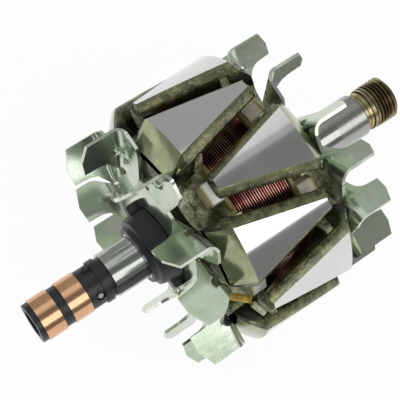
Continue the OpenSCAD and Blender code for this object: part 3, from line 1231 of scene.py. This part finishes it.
    def blade(self, d: Draft, angle: float) -> None:
        """Adds one arm with its blade.

        Args:
            d: Draft of the fan.
            angle: Angle of the blade's outer edge about the shaft.
        """
        top, under = [], []
        cut = self.notch if angle in self.notched else 0.0
        for row in self.rows():
            s_out = row.s_out - cut * (1 - smooth((row.t + 2) / self.notch_run))
            upper, lower = [], []
            for k in range(self.across + 1):
                s = row.s_in + (s_out - row.s_in) * k / self.across
                lift = self.gusset(s, row.t) + self.ripple(s, row.t)
                upper.append(self.point(row, s, lift, angle))
                lower.append(self.point(row, s, lift - self.sheet, angle))
            top.append(d.add(upper))
            under.append(d.add(lower))
        d.skin(top, closed=False)
        d.skin([list(reversed(u)) for u in under], closed=False)
        # The cut edges take the second finish, a painted highlight.
        for a, b in ((top[0], under[0]), (under[-1], top[-1]),
                     ([t[0] for t in top], [u[0] for u in under]),
                     ([u[-1] for u in under], [t[-1] for t in top])):
            d.skin([a, b], 1, closed=False)

    def build(self) -> None:
        """Builds and dresses the fan, which stands for its node."""
        d = Draft()
        under = [(self.rise, self.seat_r), (self.rise, self.eye_r)]
        under += [(self.lift(r), r) for r in (*self.rings, self.hub_r)]
        profile = under + [(h + self.sheet, r) for h, r in reversed(under)]
        d.revolve([(self.side * (self.face + h), r) for h, r in profile])
        for angle in self.angles:
            self.blade(d, angle)
        piece = d.build(self.node + "_sheet", (Finish.FAN, Finish.FAN_EDGE), 40.0)
        bevel(piece, 0.45, 50.0, 3)
        ship(piece, "fan_sheet", self.node)


@dataclass
class RotorShaft:
    """The shaft with its journals and the drive end thread."""

    thread_r: float = 8.0
    root_r: float = 7.1
    relief_r: float = 7.5
    pitch: float = 1.5
    step: float = 47.5
    reach: float = 60.6
    relief: float = 1.6
    neck: float = 1.6
    thread_len: float = 14.2
    end_round: float = 0.7
    foot: float = 0.46  # half the width of the ridge's foot, in pitches
    crest: float = 0.08  # half the width of its crest, in pitches
    journal_reach: float = 52.3
    near: float = 0.1  # how close to a step still counts as on it

    @property
    def start(self) -> float:
        """Place along the shaft where the thread starts."""
        return self.reach + self.relief + self.neck

    def bar(self) -> None:
        """Dresses a copy of the shaft, with the thread's place turned down to the root."""
        finishes = (Finish.JOURNAL, Finish.JOURNAL_BAND, Finish.THREAD, Finish.TAIL, Finish.RELIEF)
        cuts = (self.step, self.start, self.start + 0.3)
        piece = copy_solid("shaft", "shaft_bar", finishes, cuts)
        for v in piece.data.vertices:
            r, x = math.hypot(v.co.y, v.co.z) / MM, v.co.x / MM + MIDDLE
            low = self.root_r if x > self.start + self.near else self.relief_r
            if x > self.reach + self.near and r > low:
                v.co.y, v.co.z = v.co.y * low / r, v.co.z * low / r
        zones = ((self.start, Finish.THREAD), (self.reach - self.near, Finish.RELIEF),
                 (self.step, Finish.JOURNAL_BAND),
                 (-self.journal_reach - self.near, Finish.JOURNAL))
        for f in piece.data.polygons:
            x = f.center.x / MM + MIDDLE
            finish = next((finish for start, finish in zones if x > start), Finish.TAIL)
            f.material_index = finishes.index(finish)
        tidy(piece.data, 30.0)
        bevel(piece, 0.2, 40.0)
        ship(piece, "ground_steel", "shaft")

    def thread(self) -> None:
        """Cuts the drive end thread as a ridge wound on the root."""
        run = self.thread_len - self.relief - self.neck - self.end_round
        tool = NodeTool("thread_ridge", Turns=run / self.pitch,
                        Radius=(self.thread_r + self.root_r) / 2 * MM, Run=run * MM,
                        Half=self.pitch * self.foot * MM,
                        Depth=(self.thread_r - self.root_r) / 2 * MM,
                        Crest=self.pitch * self.crest * MM, Start=(self.start - MIDDLE) * MM)
        given = tool.given
        coil = tool.out("GeometryNodeCurveSpiral", Resolution=72, Rotations=given["Turns"],
                        Start_Radius=given["Radius"], End_Radius=given["Radius"],
                        Height=given["Run"])
        depth, half, crest = (given[key] for key in ("Depth", "Half", "Crest"))
        low, back, tip = (tool.math("MULTIPLY", v, -1.0) for v in (depth, half, crest))
        corners = ((low, back), (depth, tip), (depth, crest), (low, half))
        quad = tool.out("GeometryNodeCurvePrimitiveQuadrilateral", "POINTS",
                        **{f"Point_{k}": tool.out("ShaderNodeCombineXYZ", X=x, Y=y)
                           for k, (x, y) in enumerate(corners, 1)})
        ridge = tool.out("GeometryNodeCurveToMesh", Curve=coil, Profile_Curve=quad, Fill_Caps=True)
        laid = tool.out("GeometryNodeTransform", Geometry=ridge, Rotation=LAID,
                        Translation=tool.along("Start"))
        ship(tool.run(laid, Finish.THREAD, 30.0), "ground_steel")


@dataclass(frozen=True)
class Block:
    """A block that stands on the carrier, with its far end drawn in."""

    near: float  # start along the shaft, towards the slip rings
    far: float
    inner: float
    outer: float
    width: float
    draw: float = 0.5

    def add(self, d: Draft, angle: float) -> None:
        """Adds the block to a draft.

        Args:
            d: Draft of the carrier's extras.
            angle: Angle about the shaft.
        """
        rows = []
        for x, draw in ((self.near, 0.0), (self.far - 1.0, 0.0), (self.far, self.draw)):
            w, top = self.width / 2 - draw, self.outer - draw
            corners = ((self.inner, -w), (top, -w), (top, w), (self.inner, w))
            rows.append(d.add([beside(-x, r, s, angle) for r, s in corners]))
        d.skin(rows, capped=True)


@dataclass
class RingCarrier:
    """The moulding of the slip rings with its collar, ears and tab."""

    ear: Block = Block(29.2, 34.4, 12.0, 17.0, 6.0)
    ear_at: float = 206.0
    tab: Block = Block(57.2, 60.2, 6.8, 8.5, 2.4)
    tab_at: float = 62.0

    def build(self) -> None:
        """Dresses a copy of the carrier and adds what stands on it."""
        piece = copy_solid("slip_ring_carrier", "ring_carrier", [Finish.CARRIER])
        tidy(piece.data, 30.0)
        bevel(piece, 0.3, 40.0)
        ship(piece, "black_moulding", "slip_ring_carrier")
        d = Draft()
        for turn in (0.0, 180.0):
            self.ear.add(d, self.ear_at + turn)
        self.tab.add(d, self.tab_at)
        extras = d.build("carrier_ears", [Finish.CARRIER], 30.0)
        bevel(extras, 0.4, 40.0)
        ship(extras, "black_moulding")


@dataclass
class FieldLead:
    """A sleeved lead along the route of its solid."""

    node: str
    route: Sequence[tuple[float, float, float]]
    wide: float = 2.6
    finish: Finish = Finish.SLEEVE
    slot: str = "sleeve_lacquer"
    rib: float = 1.25
    corner: float = 3.0
    step: float = 0.18
    wave: float = 0.12  # share of the radius that the ribs rise and fall by
    body: float = 0.93  # share of it that their middle has

    def build(self) -> None:
        """Draws the lead as a ribbed tube along its route, which stands for its node."""
        tool = NodeTool(self.node + "_ribs", Radius=self.wide / 2 * MM, Rib=self.rib * MM,
                        Corner=self.corner * MM, Step=self.step * MM)
        given = tool.given
        path = tool.out("GeometryNodeMeshToCurve", Mesh=given["Geometry"])
        eased = tool.out("GeometryNodeFilletCurve", "POLY", Curve=path, Count=8,
                         Radius=given["Corner"])
        even = tool.out("GeometryNodeResampleCurve", "LENGTH", Curve=eased, Length=given["Step"])
        along = tool.node("GeometryNodeSplineParameter").outputs["Length"]
        ribs = tool.math("MULTIPLY", tool.math("DIVIDE", along, given["Rib"]), 2 * math.pi)
        swell = tool.math("MULTIPLY_ADD", tool.math("SINE", ribs), self.wave, self.body)
        sized = tool.out("GeometryNodeSetCurveRadius", Curve=even, Radius=swell)
        rim = tool.out("GeometryNodeCurvePrimitiveCircle", Resolution=16, Radius=given["Radius"])
        tube = tool.out("GeometryNodeCurveToMesh", Curve=sized, Profile_Curve=rim, Fill_Caps=True)
        points = [place(*corner)[:] for corner in self.route]
        piece = tool.run(tube, self.finish, 60.0, points)
        ship(piece, self.slot, self.node)


@dataclass(frozen=True)
class Softbox:
    """A lamp that hangs along the shaft and faces it."""

    name: str
    lift: float  # angle about the shaft, from +Y towards +Z, in degrees
    along: float  # place of its middle along the shaft, in metres
    size: tuple[float, float]  # length along the shaft and width, in metres
    level: float  # brightness of its face
    shine: bool = True  # whether it shows in reflections
    far: float = 0.9  # distance from the shaft, in metres

    def hang(self) -> None:
        """Adds the lamp to the scene."""
        lamp = bpy.data.lights.new(self.name, "AREA")
        lamp.shape = "RECTANGLE"
        lamp.size, lamp.size_y = self.size
        lamp.energy = math.pi * self.level * self.size[0] * self.size[1]
        a = math.radians(self.lift)
        out, side = Vector((0.0, math.cos(a), math.sin(a))), Vector((1.0, 0.0, 0.0))
        turn = Matrix((side, out.cross(side), out)).transposed().to_4x4()
        box = link(self.name, lamp)
        box.matrix_world = Matrix.Translation(out * self.far + side * self.along) @ turn
        box.visible_glossy = self.shine


@dataclass
class Studio:
    """The camera, the lights and the floor."""

    eye: tuple[float, float, float] = (-0.16325, -0.1504, 0.3704)
    forward: tuple[float, float, float] = (0.2697, 0.3728, -0.8878)
    lens: float = 103.7
    sensor: float = 36.0
    floor_z: float = -0.0487
    floor_x: float = 6.0  # the floor's reach to both sides
    floor_y: tuple[float, float] = (-0.45, 6.0)
    white: Colour = (0.977, 0.977, 0.977)
    room: Sequence[tuple[float, Colour]] = ((0.42, (0.23, 0.235, 0.23)),
                                            (0.62, (0.42, 0.43, 0.42)))
    lamps: Sequence[Softbox] = (Softbox("overhead", 74.5, -0.03, (0.735, 0.45), 0.28),
                                Softbox("overhead_rim", 76.5, -0.03, (0.735, 0.60), 0.22),
                                Softbox("front", 141.2, 0.2, (1.2, 0.545), 1.7),
                                Softbox("fill", 118.0, -0.25, (1.0, 1.0), 0.9, False))

    def camera(self) -> None:
        """Sets the camera at the picture's point of view."""
        data = bpy.data.cameras.new("camera")
        data.lens, data.sensor_width, data.clip_start = self.lens, self.sensor, 0.01
        look = Vector(self.forward).normalized()
        right = look.cross(Vector((0, 0, 1))).normalized()
        turn = Matrix((right, right.cross(look), -look)).transposed()
        cam = link("camera", data)
        cam.matrix_world = Matrix.Translation(self.eye) @ turn.to_4x4()
        bpy.context.scene.camera = cam

    def world(self) -> None:
        """Makes the room: grey, darker towards the front, with white behind the object."""
        world = bpy.data.worlds.new("room")
        world.use_nodes = True
        g = Graph(world.node_tree)
        where = g.node("ShaderNodeTexCoord").outputs["Generated"]
        _, y, _ = g.node("ShaderNodeSeparateXYZ", Vector=where).outputs
        across = g.out("ShaderNodeMapRange", Value=y, From_Min=-1.0)
        ramp = g.node("ShaderNodeValToRGB")
        g.feed(ramp.inputs[0], across)
        for stop, (position, colour) in zip(ramp.color_ramp.elements, self.room):
            stop.position, stop.color = position, (*colour, 1)
        seen = g.node("ShaderNodeLightPath").outputs["Is Camera Ray"]
        sky = g.mix(seen, ramp.outputs[0], self.white)
        g.node("ShaderNodeOutputWorld", Surface=g.out("ShaderNodeBackground", Color=sky))
        bpy.context.scene.world = world

    def floor(self) -> None:
        """Lays the pale floor."""
        d = Draft()
        (front, back), side = self.floor_y, self.floor_x
        corners = ((-side, front), (side, front), (side, back), (-side, back))
        d.face(d.add([Vector((x, y, self.floor_z)) for x, y in corners]))
        plane = d.build("floor", [Finish.FLOOR])

    def build(self) -> None:
        """Sets up camera, room, floor and lamps."""
        bpy.context.scene.view_settings.view_transform = "Standard"
        self.camera()
        self.world()
        self.floor()
        for lamp in self.lamps:
            lamp.hang()


DRESSED = {"pole_core": Finish.CORE, "outer_slip_ring": Finish.RING,
           "inner_slip_ring": Finish.RING, "ring_terminal_a": Finish.TERMINAL,
           "ring_terminal_b": Finish.TERMINAL}
POLES = (ClawPole("slip_ring_end_pole", 15.5, 1, face=24.6, shoulder=9.0),
         ClawPole("drive_end_pole", 45.5, -1))
FANS = (
    PressedFan("drive_end_fan", 1, (10.8, 40.4, 73.8, 105.8, 129.4, 153.8, 178.4, 205.8, 236, 268,
                                    303, 338),
               fan_r=46.3, slant=21.7, height=16.9, corner=0.245, inner=0.49, drop=1.9, rib_h=1.0),
    PressedFan("slip_ring_end_fan", -1, (12.8, 52.8, 89.3, 124.3, 153.8, 190.8, 219.8, 246.8,
                                         268.8, 314.8, 337.8),
               fan_r=47.0, slant=30.0, height=18.5, corner=0.35, inner=0.67, drop=3.1, rib_h=1.5,
               ridge=0.03, dish=4.9, rise=1.2, notched=(153.8, 337.8)))
LEADS = (
    FieldLead("lead_sleeve_a", ((-26.2, 13.7, 206.0), (-26.2, 28.5, 172.0), (-24.7, 33.5, 168.5),
                                (-19.5, 40.5, 167.0))),
    FieldLead("lead_sleeve_b", ((-26.2, 13.7, 26.0), (-26.2, 28.5, 354.5), (-24.7, 33.5, 353.9),
                                (-19.5, 40.5, 348.5))),
    FieldLead("lead_lashing", ((-19.2, 41.0, 170.5), (-17.0, 44.5, 175.5)), 2.4, Finish.LASHING,
              "lashing_cord", 0.9))


def dress(nodes: dict[str, Object]) -> None:
    """Gives each solid that stays its finish.

    Args:
        nodes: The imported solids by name.
    """
    for name, finish in DRESSED.items():
        mesh = nodes[name].data
        mesh.materials.clear()
        mesh.materials.append(finish.material())
        LOG.info("%s: dressed", name)


def main() -> None:
    """Builds the rotor's pieces in order."""
    logging.basicConfig(level=logging.INFO, format="%(name)s %(message)s")
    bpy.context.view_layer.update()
    Studio().build()
    dress(frame["nodes"])
    coil, shaft = FieldCoil(), RotorShaft()
    for pole in POLES:
        pole.build()
    coil.winding()
    coil.bobbin()
    for fan in FANS:
        fan.build()
    RingCarrier().build()
    for lead in LEADS:
        lead.build()
    shaft.bar()
    shaft.thread()


if __name__ == "__main__":
    main()
